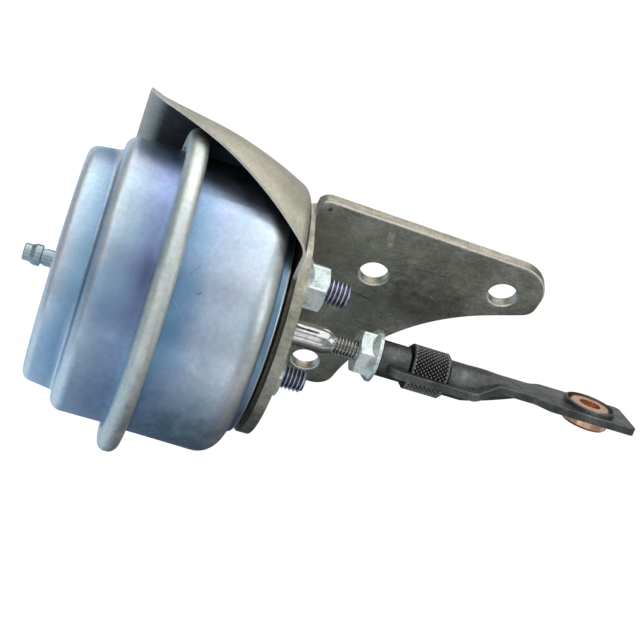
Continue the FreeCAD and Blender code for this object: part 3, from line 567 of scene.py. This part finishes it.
finishes = {
    can: ["cover_cup", "body_cup", "stud_plate"],
    nipple_zinc: ["hose_nipple"],
    rim_plate: ["crimp_ring"],
    rolled: ["bracket"],
    shield_sheet: ["heat_shield"],
    stud_nut_zinc: ["stud_nuts"],
    jam_nut_zinc: ["jam_nut"],
    stud_zinc: ["mounting_studs"],
    bright: ["rod"],
    black: ["link"],
    knurl_black: ["adjuster_nut"],
    bronze: ["eye_bush", "guide_bush"],
    rubber: ["diaphragm", "rod_seal"],
    inner: ["piston_cup", "diaphragm_retainer", "rivet_washer", "spring_seat", "return_spring",
            "seal_retainer"],
}
for finish, names in finishes.items():
    for name in names:
        if not nodes[name].material_slots:
            nodes[name].data.materials.append(finish)
        for slot in nodes[name].material_slots:
            slot.material = finish


# --- push rod, studs and adjuster -----------------------------------------------------------------
CHAMFER = 0.6


def threaded_pin(name, head, start, end, crest, pitch, steps, up, body, material, node):
    """A turned pin on the rod axis, or up above it: the head's profile up to start, a thread with
    this crest radius and pitch, in so many steps to a turn, up to end, and a chamfer."""
    thread = np.arange(start + 0.05, end, pitch / steps)
    x = np.concatenate([head[:, 0], thread, [end, end + CHAMFER]])[:, None]
    outer = np.concatenate([head[:, 1], np.full(len(thread), crest), [crest, crest - CHAMFER]])[:, None]
    angle = np.linspace(0, 2 * np.pi, 64, endpoint=False)[None, :]
    radius = np.where(x > start + 0.04, thread_radius(x, angle, start, end, outer, pitch), outer)
    return skin(name, round_the_axis(x, radius, -angle, up), body, material, node)


def push_rod():
    """Turned profile of the rod; its thin end carries an M5 thread of 0.8 mm pitch."""
    head = profile_steps([(4.8, 2.2), (5.2, 3.2), (6.0, 3.8), (6.0, 2.4), (10.0, 2.4), (10.0, 3.2),
                          (41.9, 3.2), (43.8, 2.5)], 2.0)
    threaded_pin("push_rod", head, 43.8, 75.4, 2.5, 0.8, 12, 0.0, "plunger", bright, "rod")


def studs():
    """Two M6 studs: a round head, a plain stretch in the plates and a thread of 1 mm pitch."""
    head = profile_steps([(22.0, 4.6), (22.4, 5.0), (23.4, 5.0), (23.4, 3.0), (30.0, 3.0)], 1.5)
    for name, up in (("stud_1", STUD_OFFSET), ("stud_2", -STUD_OFFSET)):
        threaded_pin(name, head, 30.0, 41.7, 3.0, 1.0, 14, up, "housing", stud_zinc,
                     "mounting_studs")


def knurled_adjuster():
    """Adjuster nut: a cylinder between two chamfers whose height carries crossed diagonal grooves,
    the lower of two triangle waves that run left and right round it."""
    start, end, outer, bevel, bore = 62.7, 72.7, 5.6, 0.7, 2.55
    rows, ridges, steps, depth = 9, 32, 14, 0.42
    middle = np.arange(start + bevel, end - bevel, 0.075)
    x = np.concatenate([[start, start], middle, [end - bevel, end, end]])[:, None]
    base = np.concatenate([[bore, outer - bevel], np.full(len(middle), outer), [outer, outer - bevel, bore]])
    angle = np.linspace(0, 2 * np.pi, ridges * steps, endpoint=False)[None, :]
    turns = angle * ridges / (2 * np.pi)
    along = (x - start) * rows / (end - start)
    wave = np.minimum(np.abs((turns + along) % 1 - 0.5), np.abs((turns - along) % 1 - 0.5)) * 2
    fade = np.clip(np.minimum(x - start - bevel, end - bevel - x) / 0.4, 0, 1)
    radius = base[:, None] - depth * np.clip(1 - wave * 1.3, 0, 1) * fade
    x = np.vstack([x, [[end - 0.01], [start + 0.01]]])
    radius = np.vstack([radius, np.full((2, ridges * steps), bore)])
    skin("knurled_adjuster", round_the_axis(x, radius, -angle), "adjuster", knurl_black,
         "adjuster_nut", loop=True)


# --- spring and diaphragm -------------------------------------------------------------------------
def coil_spring():
    """Wire of 1.2 mm radius swept along a helix of 22.4 mm radius and 4.5 turns."""
    low, high, coil, wire, turns, stations = -19.7, 5.8, 22.4, 1.2, 4.5, 289
    share = np.linspace(0, 1, stations)[:, None]
    around = np.linspace(0, 2 * np.pi, 18, endpoint=False)[None, :]
    angle = 2 * np.pi * turns * share - np.pi / 2
    x = low + (high - low) * share + wire * np.sin(around)
    places = round_the_axis(x, coil + wire * np.cos(around), angle)
    bending = ("housing", "plunger", rig(low, 0, 0), rig(high, 0, 0))
    skin("coil_spring", places, bending, inner, "return_spring")


def rounded_path(points, step):
    """A polyline through (x, r, corner radius) points with its corners turned into arcs: the arc
    touches both sides, and its points are spaced evenly in angle, about step apart."""
    out = [np.array(points[0][:2], float)]
    for before, here, after in zip(points[:-2], points[1:-1], points[2:]):
        corner, radius = np.array(here[:2], float), here[2]
        back, ahead = np.array(before[:2], float) - corner, np.array(after[:2], float) - corner
        back, ahead = back / np.linalg.norm(back), ahead / np.linalg.norm(ahead)
        half = math.acos(float(np.clip(back @ ahead, -1, 1))) / 2
        middle = corner + (back + ahead) / np.linalg.norm(back + ahead) * radius / math.sin(half)
        start = corner + back * radius / math.tan(half) - middle
        stop = corner + ahead * radius / math.tan(half) - middle
        first, last = math.atan2(start[1], start[0]), math.atan2(stop[1], stop[0])
        sweep = (last - first + math.pi) % (2 * math.pi) - math.pi
        for turn in np.linspace(first, first + sweep, max(4, int(abs(sweep) * radius / step) + 2)):
            out.append(middle + radius * np.array([math.cos(turn), math.sin(turn)]))
    out.append(np.array(points[-1][:2], float))
    return np.array(out)


def rubber_ring(name, points, bending):
    """Rubber sheet turned about the rod axis: the rounded path of its middle, moved half the
    thickness to either side along the path's normals."""
    thickness = 1.18
    path = rounded_path(points, 0.35)
    run = np.gradient(path, axis=0)
    side = np.stack([-run[:, 1], run[:, 0]], -1) / np.linalg.norm(run, axis=1)[:, None] * thickness / 2
    profile = np.vstack([path + side, (path - side)[::-1]])
    angle = np.linspace(0, 2 * np.pi, 120, endpoint=False)[None, :]
    places = round_the_axis(profile[:, :1], profile[:, 1:], angle)
    skin(name, places, bending, rubber, "diaphragm", loop=True)


def rolling_diaphragm():
    """The diaphragm in two rings that meet in the fold. The outer one hangs from the rim and the
    inner one lies on the piston."""
    fold, seam = 12.9, 29.65
    rim_face, disc_face = 0.6, 9.0          # where the sheet leaves the rim and the disc
    rubber_ring("diaphragm_side", [(0.0, 37.0), (0.0, 31.1, 1.2), (fold, 31.1, 1.0), (fold, seam)],
                ("housing", "plunger", rig(rim_face, 0, 0), rig(2 * fold - rim_face, 0, 0)))
    rubber_ring("diaphragm_face", [(fold, seam), (fold, 28.2, 1.0), (8.4, 28.2, 2.4), (8.4, 2.5)],
                ("plunger", "housing", rig(disc_face, 0, 0), rig(2 * fold - disc_face, 0, 0)))


push_rod()
studs()
knurled_adjuster()
coil_spring()
rolling_diaphragm()


# --- stage and light ------------------------------------------------------------------------------
def backdrop():
    """Pale floor below the part: white to the camera, with a share of the part's soft shadow left in
    it, and in what the metal mirrors of it a painted shadow, dark grey under the part, paler to the
    left and away."""
    low, half = -0.16, 6.0
    corners = [(-half, -half, low), (half, -half, low), (half, half, low), (-half, half, low)]
    mesh = bpy.data.meshes.new("floor")
    mesh.from_pydata(corners, [], [(0, 1, 2, 3)])
    floor = bpy.data.objects.new("floor", mesh)
    scene.collection.objects.link(floor)
    made = bpy.data.materials.new("floor white")
    made.use_nodes = True
    tree = made.node_tree
    tree.nodes.clear()
    out = tree.nodes.new("ShaderNodeOutputMaterial")
    matte = tree.nodes.new("ShaderNodeBsdfDiffuse")
    where = tree.nodes.new("ShaderNodeTexCoord").outputs["Object"]
    flat = vectors(tree, "MULTIPLY", where, (1.0, 1.0, 0.0))
    away = span(tree, vectors(tree, "LENGTH", flat), 0.0, 1.0, 0.08, 0.50)
    # Painted shadow under the part, in what the metal mirrors: dark grey near it, paler away.
    grey = ramp(tree, away, [
        (0.0, (0.07, 0.07, 0.08)), (0.4, (0.20, 0.20, 0.21)), (1.0, (0.72, 0.72, 0.71))])
    left = span(tree, parts_of(tree, flat)[0], 1.0, 0.0, -0.085, -0.035)
    tree.links.new(mixed(tree, left, grey, (0.70, 0.84, 0.96)), matte.inputs["Color"])
    glow = tree.nodes.new("ShaderNodeEmission")
    glow.inputs["Color"].default_value = (1, 1, 1, 1)
    glow.inputs["Strength"].default_value = 1.2
    path = tree.nodes.new("ShaderNodeLightPath")
    both = tree.nodes.new("ShaderNodeMixShader")
    tree.links.new(times(tree, path.outputs["Is Camera Ray"], 0.86), both.inputs[0])
    tree.links.new(matte.outputs[0], both.inputs[1])
    tree.links.new(glow.outputs[0], both.inputs[2])
    tree.links.new(both.outputs[0], out.inputs["Surface"])
    mesh.materials.append(made)


def soft_box(name, azimuth, elevation, away, width, height, level):
    """An even rectangle of light that faces the part; level is how bright it looks, 1 being white."""
    across, up = math.radians(azimuth), math.radians(elevation)
    back = Vector((math.sin(across) * math.cos(up), -math.cos(across) * math.cos(up), math.sin(up)))
    lamp_data = bpy.data.lights.new(name, "AREA")
    lamp_data.shape = "RECTANGLE"
    lamp_data.size = width
    lamp_data.size_y = height
    lamp_data.energy = level * math.pi * width * height
    lamp = bpy.data.objects.new(name, lamp_data)
    scene.collection.objects.link(lamp)
    lamp.location = rig(20, 0, 0) + back * away
    lamp.rotation_mode = "QUATERNION"
    lamp.rotation_quaternion = back.to_track_quat("Z", "Y")


# Name, degrees round to the right from the front and up, distance, width, height, level.
SOFT_BOXES = [
    ("top box", 180, 80, 0.8, 1.3, 1.0, 0.98),
    ("key box", -15, 42, 0.8, 0.9, 0.45, 0.58),
    ("back box", 172, 36, 0.8, 0.95, 0.6, 1.25),
    ("right box", 80, 25, 0.9, 0.4, 0.6, 1.1),
    ("low box", -8, 3, 0.9, 1.2, 0.26, 0.85),
]


def studio():
    """Grey room that the metal mirrors, dark below and light above, white where the camera looks
    past the part, and soft boxes."""
    world = bpy.data.worlds.new("room")
    scene.world = world
    world.use_nodes = True
    tree = world.node_tree
    tree.nodes.clear()
    out = tree.nodes.new("ShaderNodeOutputWorld")
    room = tree.nodes.new("ShaderNodeBackground")
    white = tree.nodes.new("ShaderNodeBackground")
    white.inputs["Color"].default_value = (1, 1, 1, 1)
    way = tree.nodes.new("ShaderNodeTexCoord")
    split = tree.nodes.new("ShaderNodeSeparateXYZ")
    tree.links.new(way.outputs["Generated"], split.inputs[0])
    height = span(tree, split.outputs["Z"], 0.0, 1.0, -1.0, 1.0)
    walls = ramp(tree, height, [
        (0.0, (0.16, 0.16, 0.17)), (0.45, (0.20, 0.21, 0.23)), (0.60, (0.34, 0.35, 0.38)),
        (0.80, (0.36, 0.38, 0.42)), (0.93, (0.30, 0.32, 0.35)), (1.0, (0.28, 0.30, 0.33))])
    tree.links.new(walls, room.inputs["Color"])
    path = tree.nodes.new("ShaderNodeLightPath")
    both = tree.nodes.new("ShaderNodeMixShader")
    tree.links.new(path.outputs["Is Camera Ray"], both.inputs[0])
    tree.links.new(room.outputs[0], both.inputs[1])
    tree.links.new(white.outputs[0], both.inputs[2])
    tree.links.new(both.outputs[0], out.inputs["Surface"])
    for box in SOFT_BOXES:
        soft_box(*box)


backdrop()
studio()
